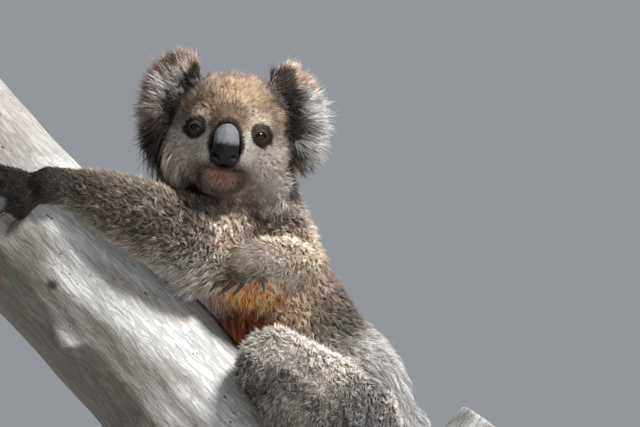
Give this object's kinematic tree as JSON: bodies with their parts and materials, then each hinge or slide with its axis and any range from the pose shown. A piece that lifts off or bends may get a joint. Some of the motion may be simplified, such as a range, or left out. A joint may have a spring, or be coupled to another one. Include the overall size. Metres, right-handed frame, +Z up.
{
  "type": "koala on a forked gum limb",
  "caption": "Life-size koala seated in the fork of a cut gum limb, one arm stretched along it to grip, face turned to the viewer, on a flat base with short rods.",
  "frame": {"origin": "middle of the stand base's underside", "axes": "+Z up; the animal's face looks towards -Y; its right arm reaches towards -X along the limb"},
  "size_m": [0.805, 0.4, 0.7182],
  "materials": {
    "coat_grey": "thick woolly fur, dark at the root and pale at the tip",
    "coat_pale": "cream fur",
    "coat_rusty": "rust-stained fur",
    "skin_dark": "bare pebbled skin, satin",
    "eye_gloss": "wet gloss, brown",
    "claw_horn": "horn, satin",
    "gum_bark": "smooth pale bark with grey streaks, sawn ends",
    "stand_black": "satin black paint",
    "stand_steel": "satin steel"
  },
  "bodies": {
    "root": {"head": "coat_grey", "ear_left": "coat_grey", "ear_right": "coat_grey", "neck": "coat_grey", "rump": "coat_grey", "upper_arm_left": "coat_grey", "upper_arm_right": "coat_grey", "forearm_left": "coat_grey", "forearm_right": "coat_grey", "thigh_left": "coat_grey", "thigh_right": "coat_grey", "shin_left": "coat_grey", "shin_right": "coat_grey", "chest": "coat_pale", "lower_jaw": "coat_pale", "belly": "coat_rusty", "nose": "skin_dark", "hand_left": "skin_dark", "hand_right": "skin_dark", "foot_left": "skin_dark", "foot_right": "skin_dark", "eye_left": "eye_gloss", "eye_right": "eye_gloss", "claw_hand_left_1": "claw_horn", "claw_hand_left_2": "claw_horn", "claw_hand_left_3": "claw_horn", "claw_hand_left_4": "claw_horn", "claw_hand_left_5": "claw_horn", "claw_hand_right_1": "claw_horn", "claw_hand_right_2": "claw_horn", "claw_hand_right_3": "claw_horn", "claw_hand_right_4": "claw_horn", "claw_hand_right_5": "claw_horn", "claw_foot_left_2": "claw_horn", "claw_foot_left_3": "claw_horn", "claw_foot_left_4": "claw_horn", "claw_foot_left_5": "claw_horn", "claw_foot_right_2": "claw_horn", "claw_foot_right_3": "claw_horn", "claw_foot_right_4": "claw_horn", "claw_foot_right_5": "claw_horn", "perch": "gum_bark", "stand_base": "stand_black", "stand_rod_1": "stand_steel", "stand_rod_2": "stand_steel"}
  },
  "joints": []
}
